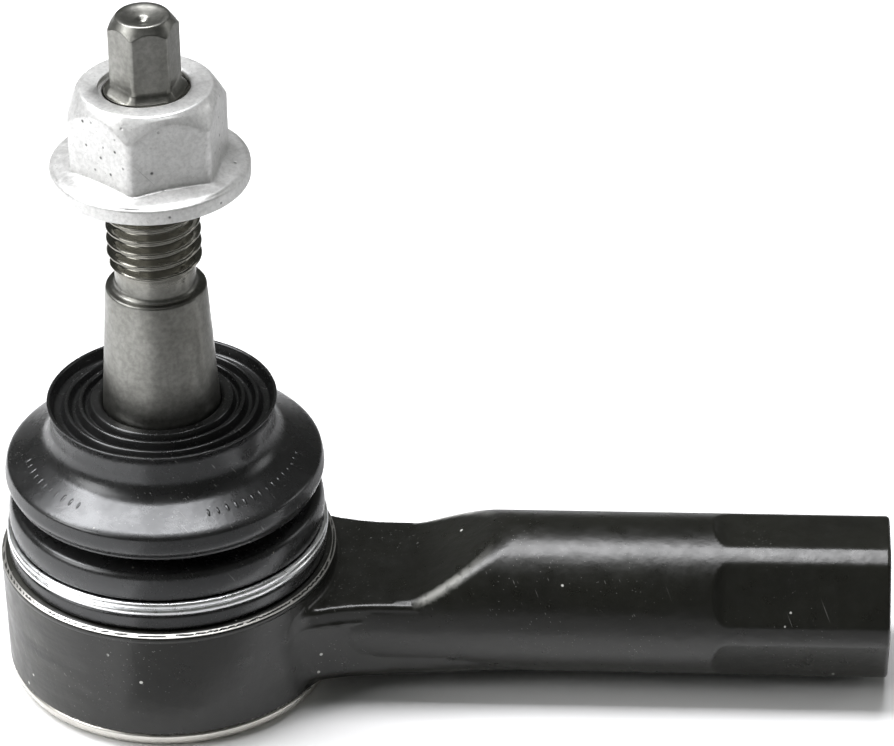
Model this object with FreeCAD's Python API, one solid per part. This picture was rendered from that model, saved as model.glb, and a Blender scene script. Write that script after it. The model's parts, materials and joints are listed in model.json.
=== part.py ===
import FreeCAD, Part
import math
import os

# Outer tie rod end: a ball joint with a tapered stud at one end of a threaded shank.
# Millimetres. The origin is the ball's centre, +Z runs up the stud, +X out along the shank.

# ---- driving dimensions -------------------------------------------------------------------------

# ball and socket
ball_radius = 11.0
ball_clearance = 0.05
seat_wall = 2.4
swing_angle = 18.0           # stud swing each way about X and about Y, degrees
swing_margin = 3.0           # degrees left between the stud's neck and the socket's rim
ball_retention = 0.28        # the socket's rim is this much smaller than the ball, on the radius
throat_gap = 0.6             # room between the socket's rim and the swinging neck
opening_depth = 2.57         # from the socket's rim up to the top of the boot's neck
seat_split = 0.4             # the two seats end this far above and below the equator

# eye of the forging
eye_wall = 8.1
eye_draft_drop = 0.35        # how much smaller the eye's radius is at its lower edge
shoulder_land = 1.0          # least width of shoulder left outside the boot's bead
shoulder_chamfer = 0.6
neck_wall = 3.4              # steel round the bore where the boot is clamped
neck_rim = 1.6               # least steel round the opening where it is widest
neck_lip = 0.8               # the neck's upper rim stands this far out of the boot's seat
neck_height = 4.1            # from the shoulder to the top of the neck
neck_lip_height = 1.4

# cover, spring and rolled edge
cover_gap = 0.3              # below the ball, at the middle of the cover
cover_thickness = 1.6
cover_ledge = 3.9            # width of the ledge the cover lies against
cover_dish = 0.4
cover_fit = 0.05
rolled_edge_thickness = 0.8
rolled_edge_width = 1.7      # how far the rolled edge reaches in over the cover
rolled_edge_radius = 1.9     # round outer corner of the rolled edge
spring_thickness = 0.9
spring_width = 5.0
spring_fit = 0.3

# shank and arm
shank_drop = 2.5             # the shank's axis lies this far below the ball's centre
shank_radius = 10.35
shank_end = 92.4             # from the stud's axis
flats_across = 19.1
flats_turn = 3.6             # the top flat leans this many degrees to the back (+Y)
flats_length = 21.0
end_chamfer = 0.5
rod_thread_minor_radius = 6.19
rod_thread_depth = 46.0
rod_thread_chamfer = 1.1
drill_point_angle = 59.0
arm_top = 1.4                # flat top of the arm, above the ball's centre
arm_half_width = 10.0
arm_flare_length = 7.0       # from the eye's side to where the arm is narrowest
arm_flare_sink = 1.4         # the flares start this far inside the eye's side
arm_underside_drop = 8.5     # below the shank's axis
arm_rounding = 1.4           # the arm's corners stand this far outside the shank's round
ramp_gap = 8.5               # from the eye's side to the foot of the ramp
ramp_length = 13.5

# ball stud
stud_neck_radius = 5.8
stud_neck_height = 2.6       # straight part above the ball
cone_base = 21.5             # large end of the cone, above the ball's centre
cone_length = 21.5
cone_small_radius = 6.35
cone_taper = 8.0             # 1 in 8 on the diameter
undercut_length = 3.2
undercut_depth = 0.85
thread_radius = 5.93
thread_length = 24.6
thread_chamfer = 0.9
hex_base_length = 0.9
hex_across = 7.8
hex_length = 9.0
hex_corner_radius = 4.4
hex_end_radius = 3.35
hex_turn = 15.8              # plan angle of one hexagon face, degrees from -Y towards +X

# flange nut
nut_across = 17.9
nut_corner_radius = 10.1
nut_height = 12.75
nut_proud = 0.35             # the nut's top above the end of the thread
nut_clearance = 0.07
nut_flange_radius = 12.4
nut_flange_rim = 2.1
nut_flange_slope = 0.23
nut_top_radius = 8.4
nut_chamfer_height = 2.95
nut_mouth_chamfer = 0.45
nut_turn = 22.8

# dust boot and its rings
boot_gap = 0.1
bead_thickness = 3.5
bead_height = 2.1
clamp_wire = 1.0
clamp_turns = 2
clamp_bite = 0.85            # how deep the wire sits in the bead
fold_reach = 3.3             # the folds stand this far out of the boot's seat
lower_fold_share = 0.3145    # of the height from the clamp ring up to the collar
crease_share = 0.121
upper_fold_share = 0.371
boot_wall = 1.7
collar_drop = 0.6            # the collar starts this far below the cone's large end
collar_wall = 6.8            # from the stud's cone out to the collar's outside
collar_height = 5.4
mouth_rim = 0.4
mouth_depth = 1.6
lip_gap = 0.2
top_ring_cover = 1.6         # rubber outside the ring
top_ring_wall = 0.8
top_ring_height = 2.0

# ---- worked out from them -----------------------------------------------------------------------

bore_radius = ball_radius + seat_wall

# half angle of the socket's opening, seen from the ball's centre: both swings at once, and the neck
both_swings = math.degrees(math.acos(math.cos(math.radians(swing_angle)) ** 2))
neck_half_angle = math.degrees(math.asin(stud_neck_radius / ball_radius))
opening_taper = math.tan(math.radians(both_swings + neck_half_angle + swing_margin))
throat_radius = ball_radius - ball_retention
throat_height = (throat_radius - throat_gap) / opening_taper
seat_start = throat_height - (bore_radius - throat_radius)

neck_top = throat_height + opening_depth
shoulder_height = neck_top - neck_height
flare_radius = throat_radius + opening_depth * opening_taper
neck_radius = max(bore_radius + neck_wall, flare_radius + neck_rim)

bead_radius = neck_radius + boot_gap + bead_thickness
eye_radius = max(bore_radius + eye_wall, bead_radius + shoulder_land)
eye_low_radius = eye_radius - eye_draft_drop

cover_top = -ball_radius
cover_radius = bore_radius + cover_ledge
cover_bottom = cover_top - cover_thickness
eye_bottom = cover_bottom - rolled_edge_thickness

shank_axis = -shank_drop
arm_bottom = shank_axis - arm_underside_drop
arm_narrowest = eye_radius + arm_flare_length
ramp_start = eye_radius + ramp_gap
ramp_end = ramp_start + ramp_length

ball_neck_height = math.sqrt(ball_radius ** 2 - stud_neck_radius ** 2)
neck_end = ball_neck_height + stud_neck_height
cone_top = cone_base + cone_length
cone_base_radius = cone_small_radius + cone_length / cone_taper / 2
thread_start = cone_top + undercut_length
thread_end = thread_start + thread_length
hex_start = thread_end + hex_base_length
stud_tip = hex_start + hex_length
undercut_radius = thread_radius - undercut_depth

nut_top = thread_end + nut_proud
nut_bottom = nut_top - nut_height
nut_bore_radius = thread_radius + nut_clearance


def cone_radius_at(height):
    """Radius of the stud's cone at a height above the ball's centre."""
    return cone_small_radius + (cone_top - height) / cone_taper / 2


bead_bottom = shoulder_height + boot_gap
bead_top = bead_bottom + bead_height
clamp_height = clamp_turns * clamp_wire
clamp_top = bead_top + clamp_height
clamp_inner = bead_radius - clamp_bite
fold_radius = neck_radius + fold_reach
collar_base = cone_base - collar_drop
collar_top = collar_base + collar_height
collar_radius = cone_radius_at(collar_top) + collar_wall
boot_rise = collar_base - clamp_top
crease_height = crease_share * boot_rise
upper_fold_height = upper_fold_share * boot_rise
lower_fold_top = clamp_top + lower_fold_share * boot_rise
crease_top = lower_fold_top + crease_height
upper_fold_top = crease_top + upper_fold_height
top_ring_radius = collar_radius - top_ring_cover


# ---- helpers ------------------------------------------------------------------------------------

def point(radius, height):
    return FreeCAD.Vector(radius, 0, height)


def turned(edges):
    """Solid of revolution round Z from a closed loop of edges in the XZ plane."""
    face = Part.Face(Part.Wire(edges))
    return face.revolve(FreeCAD.Vector(0, 0, 0), FreeCAD.Vector(0, 0, 1), 360)


def lines(points):
    """Straight edges that join (radius, height) points in turn."""
    return [Part.makeLine(point(*a), point(*b)) for a, b in zip(points, points[1:])]


def arc(start, middle, end):
    return Part.Arc(point(*start), point(*middle), point(*end)).toShape()


def turned_outline(points):
    """Solid of revolution from a closed straight-sided outline."""
    return turned(lines(points + points[:1]))


def hexagon_prism(across, bottom, top, turn):
    """Hexagon bar along Z; turn is the plan angle of one face, from -Y towards +X."""
    corner = across / math.sqrt(3)
    angles = [math.radians(turn - 90 + 30 + 60 * i) for i in range(7)]
    corners = [FreeCAD.Vector(corner * math.cos(a), corner * math.sin(a), bottom) for a in angles]
    return Part.Face(Part.makePolygon(corners)).extrude(FreeCAD.Vector(0, 0, top - bottom))


def save(name, shape):
    if len(shape.Solids) != 1:
        raise ValueError("%s is %d solids" % (name, len(shape.Solids)))
    shape = shape.Solids[0]
    shape.exportStep(os.path.join("parts", name + ".step"))
    print("%-20s volume %9.1f  valid %s" % (name, shape.Volume, shape.isValid()))


# ---- forging ------------------------------------------------------------------------------------

def eye():
    """Drafted drum with the boot's shoulder and neck above and the rolled edge below."""
    edge_start = eye_bottom + rolled_edge_radius
    corner = rolled_edge_radius * (1 - math.sqrt(0.5))
    outline = [
        (0, eye_bottom),
        (eye_low_radius - rolled_edge_radius, eye_bottom),
    ]
    upper = [
        (eye_low_radius, edge_start),
        (eye_radius, shoulder_height - shoulder_chamfer),
        (eye_radius - shoulder_chamfer, shoulder_height),
        (neck_radius, shoulder_height),
        (neck_radius, neck_top - neck_lip_height),
        (neck_radius + neck_lip, neck_top - neck_lip_height),
        (neck_radius + neck_lip, neck_top),
        (0, neck_top),
        (0, eye_bottom),
    ]
    round_edge = arc(outline[-1], (eye_low_radius - corner, eye_bottom + corner), upper[0])
    return turned(lines(outline) + [round_edge] + lines(upper))


def socket_space():
    """Everything hollow in the eye: cover recess, bore, tapered seat and flared opening."""
    lip_inner = cover_radius - rolled_edge_width
    recess = cover_radius + cover_fit
    return turned_outline([
        (0, eye_bottom - 1),
        (lip_inner, eye_bottom - 1),
        (lip_inner, cover_bottom - cover_fit),
        (recess, cover_bottom - cover_fit),
        (recess, cover_top),
        (bore_radius, cover_top),
        (bore_radius, seat_start),
        (throat_radius, throat_height),
        (flare_radius, neck_top),
        (flare_radius + opening_taper, neck_top + 1),
        (0, neck_top + 1),
    ])


def arm_plan():
    """Arm seen from above: straight sides that flare tangentially into the eye."""
    circle = eye_low_radius - arm_flare_sink
    side = arm_half_width
    far = ramp_end
    centre_x = arm_narrowest
    bend = (centre_x ** 2 + side ** 2 - circle ** 2) / (2 * (circle - side))
    reach = circle / (circle + bend)
    centre_y = side + bend
    touch = (centre_x * reach, centre_y * reach)
    angle = (math.atan2(touch[1] - centre_y, touch[0] - centre_x) - math.pi / 2) / 2
    middle = (centre_x + bend * math.cos(angle), centre_y + bend * math.sin(angle))

    def at(x, y):
        return FreeCAD.Vector(x, y, arm_bottom)

    edges = [
        Part.Arc(at(*touch), at(*middle), at(centre_x, side)).toShape(),
        Part.makeLine(at(centre_x, side), at(far, side)),
        Part.makeLine(at(far, side), at(far, -side)),
        Part.makeLine(at(far, -side), at(centre_x, -side)),
        Part.Arc(at(centre_x, -side), at(middle[0], -middle[1]), at(touch[0], -touch[1])).toShape(),
        Part.makeLine(at(touch[0], -touch[1]), at(0, 0)),
        Part.makeLine(at(0, 0), at(*touch)),
    ]
    return Part.Face(Part.Wire(edges)).extrude(FreeCAD.Vector(0, 0, arm_top - arm_bottom))


def along_shank(outline):
    """Solid of revolution round the shank's axis from (x, radius) points."""
    corners = [FreeCAD.Vector(x, 0, shank_axis + r) for x, r in outline]
    face = Part.Face(Part.makePolygon(corners + corners[:1]))
    return face.revolve(FreeCAD.Vector(0, 0, shank_axis), FreeCAD.Vector(1, 0, 0), 360)


def arm():
    """The arm, with its corners rounded off to a form that fades into the shank."""
    rounding = along_shank([
        (-1, 0),
        (-1, 2 * eye_radius),
        (eye_radius * 0.6, eye_radius),
        (arm_narrowest, shank_radius + arm_rounding),
        (ramp_end, shank_radius),
        (ramp_end, 0),
    ])
    return arm_plan().common(rounding)


def shank():
    """Round shank with six flats at its end."""
    start = eye_radius - 2
    bar = along_shank([
        (start, 0),
        (start, shank_radius),
        (shank_end - end_chamfer, shank_radius),
        (shank_end, shank_radius - end_chamfer),
        (shank_end, 0),
    ])
    flats_start = shank_end - flats_length
    collar = along_shank([
        (flats_start, 0),
        (flats_start, 2 * shank_radius),
        (shank_end + 1, 2 * shank_radius),
        (shank_end + 1, 0),
    ])
    bar_of_flats = hexagon_prism(flats_across, flats_start - 1, shank_end + 2, 90)
    bar_of_flats.rotate(FreeCAD.Vector(0, 0, 0), FreeCAD.Vector(0, 1, 0), 90)
    bar_of_flats.rotate(FreeCAD.Vector(0, 0, 0), FreeCAD.Vector(1, 0, 0), -flats_turn)
    bar_of_flats.translate(FreeCAD.Vector(0, 0, shank_axis))
    return bar.cut(collar.cut(bar_of_flats))


def ramp_space():
    """Space above the arm's flat top, ending in a ramp up to the top of the shank."""
    top = shank_axis + shank_radius + 1
    rise = shank_axis + shank_radius - arm_top
    start = eye_radius - 3
    slope = rise / ramp_length
    outline = [
        (start, arm_top),
        (ramp_start, arm_top),
        (ramp_start + ramp_length * 0.25, arm_top + rise * 0.14),
        (ramp_end, arm_top + rise),
        (ramp_end + 1 / slope, top),
        (start, top),
    ]
    width = 2 * shank_radius
    corners = [FreeCAD.Vector(x, -width, z) for x, z in outline]
    face = Part.Face(Part.makePolygon(corners + corners[:1]))
    return face.extrude(FreeCAD.Vector(0, 2 * width, 0))


def rod_hole():
    """Blind hole for the inner rod's thread, at the thread's minor diameter."""
    bottom = shank_end - rod_thread_depth
    point_length = rod_thread_minor_radius / math.tan(math.radians(drill_point_angle))
    mouth = rod_thread_minor_radius + rod_thread_chamfer
    return along_shank([
        (bottom - point_length, 0),
        (bottom, rod_thread_minor_radius),
        (shank_end - rod_thread_chamfer, rod_thread_minor_radius),
        (shank_end, mouth),
        (shank_end + 1, mouth),
        (shank_end + 1, 0),
    ])


def housing():
    bar = shank().cut(ramp_space())
    body = eye().fuse([arm(), bar]).removeSplitter()
    return body.cut(socket_space()).cut(rod_hole())


# ---- inside the socket --------------------------------------------------------------------------

def ball_space():
    return Part.makeSphere(ball_radius + ball_clearance)


def upper_bearing_seat():
    """Acetal ring above the ball's equator, backed by the tapered end of the bore."""
    ring = turned_outline([
        (0, seat_split),
        (bore_radius, seat_split),
        (bore_radius, seat_start),
        (throat_radius, throat_height),
        (0, throat_height),
    ])
    opening = Part.makeCone(0, 2 * neck_top * opening_taper, 2 * neck_top)
    return ring.cut(ball_space()).cut(opening)


def lower_bearing_seat():
    """Acetal cup below the equator, open at the bottom, pushed up by the spring."""
    bottom = cover_top + 2 * spring_thickness + spring_fit
    hole = Part.makeCylinder(0.5 * ball_radius, 2 * ball_radius, FreeCAD.Vector(0, 0, -2 * ball_radius))
    ring = turned_outline([
        (0, bottom),
        (bore_radius - 0.6, bottom),
        (bore_radius, bottom + 0.6),
        (bore_radius, -seat_split),
        (0, -seat_split),
    ])
    return ring.cut(ball_space()).cut(hole)


def preload_spring():
    """Disc spring, outer edge on the cover, inner edge against the lower seat."""
    outer = bore_radius - spring_fit
    inner = outer - spring_width
    top = cover_top + 2 * spring_thickness + spring_fit
    return turned_outline([
        (outer, cover_top),
        (outer, cover_top + spring_thickness),
        (inner, top),
        (inner, top - spring_thickness),
    ])


def cover_plate():
    """Pressed steel disc, dished outwards in the middle to clear the ball."""
    dish_edge = 0.62 * bore_radius
    dish_flat = 0.45 * bore_radius
    return turned_outline([
        (0, cover_bottom - cover_dish),
        (dish_flat, cover_bottom - cover_dish),
        (dish_edge, cover_bottom),
        (cover_radius, cover_bottom),
        (cover_radius, cover_top),
        (dish_edge, cover_top),
        (dish_flat, cover_top - cover_gap),
        (0, cover_top - cover_gap),
    ])


# ---- stud and nut -------------------------------------------------------------------------------

def ball_stud():
    """Ball, neck, 1:8 cone, undercut and thread, all turned; then the hexagon tip."""
    start = (0, -ball_radius)
    side = (ball_radius, 0)
    neck = (stud_neck_radius, ball_neck_height)
    root_half = math.sqrt(0.5) * ball_radius
    above = 0.5 * (math.pi / 2 + math.atan2(stud_neck_radius, ball_neck_height))
    ball_upper = (ball_radius * math.sin(above), ball_radius * math.cos(above))
    base = (cone_base_radius, cone_base)
    throat = (stud_neck_radius, neck_end)
    swell = (
        stud_neck_radius + 0.36 * (cone_base_radius - stud_neck_radius),
        0.5 * (neck_end + cone_base),
    )
    upper = [
        base,
        (cone_small_radius, cone_top),
        (undercut_radius, cone_top + 0.8),
        (undercut_radius, thread_start - 0.5),
        (thread_radius, thread_start),
        (thread_radius, thread_end - thread_chamfer),
        (thread_radius - thread_chamfer, thread_end),
        (thread_radius - thread_chamfer, hex_start),
        (0, hex_start),
        start,
    ]
    body = turned(
        [
            arc(start, (root_half, -root_half), side),
            arc(side, ball_upper, neck),
            Part.makeLine(point(*neck), point(*throat)),
            arc(throat, swell, base),
        ]
        + lines(upper)
    )
    tip_chamfer = hex_corner_radius - hex_end_radius
    bar = hexagon_prism(hex_across, hex_start - 0.5, stud_tip, hex_turn)
    tip_form = turned_outline([
        (0, hex_start - 0.5),
        (hex_corner_radius, hex_start - 0.5),
        (hex_corner_radius, stud_tip - 1.3 * tip_chamfer),
        (hex_end_radius, stud_tip),
        (0, stud_tip),
    ])
    return body.fuse(bar.common(tip_form))


def flange_nut():
    """Hexagon nut on a conical flange, steep chamfer on top, plain bore at the thread's outside."""
    rim_top = nut_bottom + nut_flange_rim
    flange = turned_outline([
        (0, nut_bottom),
        (nut_flange_radius, nut_bottom),
        (nut_flange_radius, rim_top),
        (0, rim_top + nut_flange_slope * nut_flange_radius),
    ])
    form = turned_outline([
        (0, nut_bottom),
        (nut_corner_radius, nut_bottom),
        (nut_corner_radius, nut_top - nut_chamfer_height),
        (nut_top_radius, nut_top),
        (0, nut_top),
    ])
    prism = hexagon_prism(nut_across, nut_bottom, nut_top, nut_turn)
    mouth = nut_bore_radius + nut_mouth_chamfer
    bore = turned_outline([
        (0, nut_bottom - 1),
        (mouth, nut_bottom - 1),
        (mouth, nut_bottom),
        (nut_bore_radius, nut_bottom + nut_mouth_chamfer),
        (nut_bore_radius, nut_top - nut_mouth_chamfer),
        (mouth, nut_top),
        (mouth, nut_top + 1),
        (0, nut_top + 1),
    ])
    return flange.fuse(prism.common(form)).cut(bore)


# ---- boot and its rings -------------------------------------------------------------------------

def boot_outside():
    """Outer outline, from the bead's foot up to the mouth."""
    half_lower = 0.5 * (clamp_top + lower_fold_top)
    half_upper = crease_top + 0.42 * upper_fold_height
    return [
        (bead_radius, bead_bottom),
        (bead_radius, bead_top),
        (clamp_inner - boot_gap, bead_top),
        (clamp_inner - boot_gap, clamp_top),
        (fold_radius - 0.1, clamp_top + 0.3),
        (fold_radius - 0.1, half_lower),
        (fold_radius - 0.9, lower_fold_top - 0.6),
        (neck_radius, lower_fold_top + 0.5 * crease_height - 0.4),
        (neck_radius, lower_fold_top + 0.5 * crease_height + 0.4),
        (fold_radius - 0.7, crease_top + 0.3),
        (fold_radius, half_upper),
        (fold_radius - 0.2, upper_fold_top - 1.1),
        (fold_radius - 0.9, upper_fold_top),
        (collar_radius + 1.1, collar_base),
        (collar_radius, collar_base + 1.2),
        (collar_radius, collar_top - 0.9),
        (collar_radius + mouth_rim, collar_top),
    ]


def boot_inside():
    """Inner outline, from the mouth down the sealing lip and along the wall to the bead."""
    lip_radius = cone_radius_at(collar_base) + lip_gap
    collar_inside = collar_radius - boot_wall
    inner_fold = fold_radius - boot_wall
    neck_clear = neck_radius + neck_lip + boot_gap
    return [
        (collar_radius, collar_top),
        (collar_radius - 0.9, collar_top - mouth_depth),
        (collar_radius - 2.2, collar_top - mouth_depth),
        (collar_radius - 2.5, collar_top - 0.6),
        (lip_radius, collar_top - 0.1),
        (lip_radius, collar_base + 0.6),
        (collar_inside, collar_base - 0.6),
        (inner_fold - 0.8, upper_fold_top - 1.2),
        (inner_fold, crease_top + 0.45 * upper_fold_height),
        (inner_fold - 0.7, crease_top + 1.4),
        (neck_radius - boot_wall, lower_fold_top + 0.8 * crease_height),
        (neck_radius - boot_wall, lower_fold_top + 0.2 * crease_height),
        (neck_clear + 0.2, lower_fold_top - 1.8),
        (neck_clear, clamp_top + 0.3),
        (neck_clear, neck_top - neck_lip_height - boot_gap),
        (neck_radius + boot_gap, neck_top - neck_lip_height - boot_gap),
        (neck_radius + boot_gap, bead_bottom),
    ]


def top_ring_outline(gap):
    """Section of the ring moulded into the collar, grown by a gap all round."""
    middle = 0.5 * (collar_base + collar_top - mouth_depth) + 0.2
    half = 0.5 * top_ring_height + gap
    return [
        (top_ring_radius - top_ring_wall - gap, middle - half),
        (top_ring_radius + gap, middle - half),
        (top_ring_radius + gap, middle + half),
        (top_ring_radius - top_ring_wall - gap, middle + half),
    ]


def dust_boot():
    return turned_outline(boot_outside() + boot_inside()).cut(turned_outline(top_ring_outline(0.05)))


def boot_top_ring():
    return turned_outline(top_ring_outline(0))


def boot_clamp_ring():
    """Two close turns of round wire, drawn as one ring with round edges."""
    half = 0.5 * clamp_wire
    outer = clamp_inner + clamp_wire
    middle = clamp_inner + half
    low = bead_top + boot_gap / 2
    high = clamp_top - boot_gap / 2
    bend = half * (1 - math.sqrt(0.5))
    return turned([
        arc((clamp_inner, low + half), (clamp_inner + bend, low + bend), (middle, low)),
        arc((middle, low), (outer - bend, low + bend), (outer, low + half)),
        Part.makeLine(point(outer, low + half), point(outer, high - half)),
        arc((outer, high - half), (outer - bend, high - bend), (middle, high)),
        arc((middle, high), (clamp_inner + bend, high - bend), (clamp_inner, high - half)),
        Part.makeLine(point(clamp_inner, high - half), point(clamp_inner, low + half)),
    ])


os.makedirs("parts", exist_ok=True)
save("housing", housing())
save("upper_bearing_seat", upper_bearing_seat())
save("lower_bearing_seat", lower_bearing_seat())
save("preload_spring", preload_spring())
save("cover_plate", cover_plate())
save("ball_stud", ball_stud())
save("flange_nut", flange_nut())
save("dust_boot", dust_boot())
save("boot_top_ring", boot_top_ring())
save("boot_clamp_ring", boot_clamp_ring())
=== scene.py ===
import json
import math

import bpy
import numpy as np
from mathutils import Matrix, Vector


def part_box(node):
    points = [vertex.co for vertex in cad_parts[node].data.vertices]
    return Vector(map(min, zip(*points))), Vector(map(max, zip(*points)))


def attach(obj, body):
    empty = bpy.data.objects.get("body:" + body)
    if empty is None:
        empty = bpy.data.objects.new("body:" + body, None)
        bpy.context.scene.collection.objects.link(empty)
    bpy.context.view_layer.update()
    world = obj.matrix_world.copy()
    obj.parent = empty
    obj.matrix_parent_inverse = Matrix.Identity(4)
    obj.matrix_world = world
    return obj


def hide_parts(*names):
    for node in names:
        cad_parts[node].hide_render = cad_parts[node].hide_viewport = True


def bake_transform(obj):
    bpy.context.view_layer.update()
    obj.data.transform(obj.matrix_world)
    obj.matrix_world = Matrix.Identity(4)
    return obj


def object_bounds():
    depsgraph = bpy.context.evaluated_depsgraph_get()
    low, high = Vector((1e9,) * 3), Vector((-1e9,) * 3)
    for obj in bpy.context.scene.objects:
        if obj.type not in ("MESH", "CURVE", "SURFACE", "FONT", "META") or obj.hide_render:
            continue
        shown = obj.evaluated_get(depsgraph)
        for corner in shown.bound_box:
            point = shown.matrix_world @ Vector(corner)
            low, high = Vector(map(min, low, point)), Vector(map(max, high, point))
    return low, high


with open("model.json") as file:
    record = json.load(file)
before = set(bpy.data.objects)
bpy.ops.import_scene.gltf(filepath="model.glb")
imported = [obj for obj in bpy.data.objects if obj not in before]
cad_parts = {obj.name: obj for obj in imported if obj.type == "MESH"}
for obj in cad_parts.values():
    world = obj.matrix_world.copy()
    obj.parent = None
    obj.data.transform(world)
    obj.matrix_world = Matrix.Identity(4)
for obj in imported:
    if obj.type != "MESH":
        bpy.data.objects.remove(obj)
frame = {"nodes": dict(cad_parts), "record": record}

cad_low, cad_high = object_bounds()

# ---- Forging -------------------------------------------------------------------------------------
# One hot-forged steel piece: the eye, the flat arm that flares into it and the round shank.
# The hammer leaves a thin flash along the parting line; shoulder, bore and flats are machined,
# and the whole is dipped in black coat before the lower edge is rolled in over the cover.
MM = 0.001


def box_mm(node):
    """Lowest and highest corner of a node at rest, in millimetres."""
    low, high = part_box(node)
    return low / MM, high / MM


def mount(name):
    return next(m for m in frame["record"]["mounts"] if m["name"] == name)


housing_low, housing_high = box_mm("housing")
seat_high = box_mm("upper_bearing_seat")[1]
cover_low, cover_high = box_mm("cover_plate")
boot_low, boot_high = box_mm("dust_boot")
rod_mount = mount("rod_thread")

eye_radius = -housing_low.x
eye_bottom = housing_low.z
eye_draft = 0.35
neck_top = housing_high.z
neck_radius = 16.8
neck_lip = 0.8
neck_lip_height = 1.4
shoulder = boot_low.z - 0.1
shoulder_round = 0.4
shoulder_depth = 1.2
chamfer_width = 0.52
chamfer_drop = 0.28
wall_bottom = eye_bottom + 2.25
rolled_width = 1.7
skin_step = 0.05

bore_radius = seat_high.x
throat_height = seat_high.z
throat_radius = 10.72
opening_taper = 1.7366
cover_recess = cover_high.x + 0.05
seat_start = throat_height - (bore_radius - throat_radius)

shank_axis = rod_mount["pos_m"][2] / MM
shank_end = housing_high.x
shank_radius = 10.35
rod_thread_minor = rod_mount["dims"]["r_mm"]
rod_thread_length = rod_mount["dims"]["length_mm"]
rod_thread_depth = 0.86
rod_wall = rod_thread_minor + rod_thread_depth + 0.1
rod_hole_end = rod_mount["pos_m"][0] / MM - rod_thread_length / 2
flats_half = 9.55
flats_turn = 3.6        # degrees that the top flat leans to the back
flats_start = 71.8
flats_run_out = 2.2
end_chamfer = 0.5

arm_top = 1.4
arm_half_width = 10.0
arm_bottom = -11.0
arm_narrowest = 28.5
arm_circle = eye_radius - eye_draft - 1.4
arm_inset = arm_circle - arm_half_width
arm_bend = (arm_narrowest ** 2 + arm_half_width ** 2 - arm_circle ** 2) / (2 * arm_inset)
arm_top_round = 0.7
arm_bottom_round = 2.5
arm_side_round = 1.2
ramp_foot = 31.75
ramp_slope = 0.548
ramp_ease = 1.0
ramp_end = 43.5
ramp_round = 1.0
arm_form = ([12.9, arm_narrowest, ramp_end], [eye_radius, 11.75, shank_radius])
parting_height = -0.9
parting_draft = 0.09
flash_height = 0.2
flash_width = 0.3
flash_start, flash_end = 16, 44
eye_fillet = 0.9
flat_edge_round = 0.12
drill_clearance, drill_slope, drill_slant = 0.8, 1.66, 1.94


def both(a, b, radius=0.0):
    """Where two forms overlap, with the edge between them rounded off."""
    outer = np.hypot(np.maximum(a + radius, 0), np.maximum(b + radius, 0))
    return np.minimum(np.maximum(a, b) + radius, 0) + outer - radius


def either(a, b, radius=0.0):
    """Two forms joined, with a fillet in the corner between them."""
    return -both(-a, -b, radius)


def ring_band(r, z, radius, bottom, top):
    """A plain cylinder round Z between two heights."""
    return np.maximum(r - radius, np.maximum(bottom - z, z - top))


def socket_hollow(r, z):
    """Bore, tapered seat and flared opening; negative inside the hollow."""
    seat_line = (r + z - bore_radius - seat_start) * math.sqrt(0.5)
    flare = (r - throat_radius - (z - throat_height) * opening_taper) / math.hypot(1, opening_taper)
    bore = np.maximum(ring_band(r, z, bore_radius, eye_bottom - 1, throat_height), seat_line)
    mouth = np.maximum(flare, throat_height - 0.01 - z)
    recess = ring_band(r, z, cover_recess, eye_bottom - 1, cover_high.z)
    return np.minimum(np.minimum(bore, mouth), recess)


def arm_plan(x, y):
    """Outline of the arm from above: straight sides that flare into the eye."""
    side = np.abs(y)
    flare = arm_bend - np.hypot(x - arm_narrowest, side - arm_half_width - arm_bend)
    touch = arm_narrowest * arm_circle / (arm_circle + arm_bend)
    outline = np.where(x < arm_narrowest, flare, side - arm_half_width)
    return np.where(x < touch, np.hypot(x, y) - arm_circle, outline)


def ramp_height(x):
    """Height of the cut that climbs from the arm's top to the shank, eased at its foot."""
    return arm_top + ramp_slope * ramp_ease * np.logaddexp(0, (x - ramp_foot) / ramp_ease)


def arm_and_shank(x, y, z):
    """The flat arm with its parting line, and the round shank with six flats and the ramp."""
    up = z - shank_axis
    draft = parting_draft * np.abs(z - parting_height)
    flash = np.exp(-((z - parting_height) / flash_width) ** 2)
    ragged = 0.65 + 0.35 * np.sin(1.9 * x) * np.sin(0.73 * x + 1.0)
    flash = flash * flash_height * ragged * np.clip((flash_end - x) / 12, 0, 1)
    flash = flash * np.clip((x - flash_start) / 4, 0, 1)
    arm = both(arm_plan(x, y) + draft - flash, z - arm_top, arm_top_round)
    arm = both(arm, arm_bottom - z, arm_bottom_round)
    arm = both(arm, np.hypot(y, up) - np.interp(x, *arm_form), arm_side_round)
    arm = np.maximum(arm, x - ramp_end)

    bar = np.hypot(y, up) - shank_radius
    run_out = np.clip((flats_start - x) / flats_run_out, 0, 1) ** 2
    for turn in (0, 60, 120):
        turn = math.radians(turn + flats_turn)
        flat = np.abs(y * math.sin(turn) + up * math.cos(turn)) - flats_half - run_out
        bar = both(bar, flat, flat_edge_round)
    bar = both(bar, x - shank_end, end_chamfer)
    bar = np.maximum(bar, eye_radius - 3 - x)
    ramp = (z - ramp_height(x)) / math.hypot(1, ramp_slope)
    return np.minimum(arm, both(bar, ramp, ramp_round))


def rod_hole(x, y, z):
    """Drilled hole with its drill point and its chamfered mouth; negative inside the hole."""
    r = np.hypot(y, z - shank_axis)
    cone = (r - rod_wall + drill_clearance - (x - rod_hole_end) * drill_slope) / drill_slant
    mouth = (r - rod_wall - 0.3 - (x - shank_end)) * math.sqrt(0.5)
    return np.minimum(np.maximum(r - rod_wall, cone), np.maximum(mouth, shank_end - 2 - x))


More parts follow.
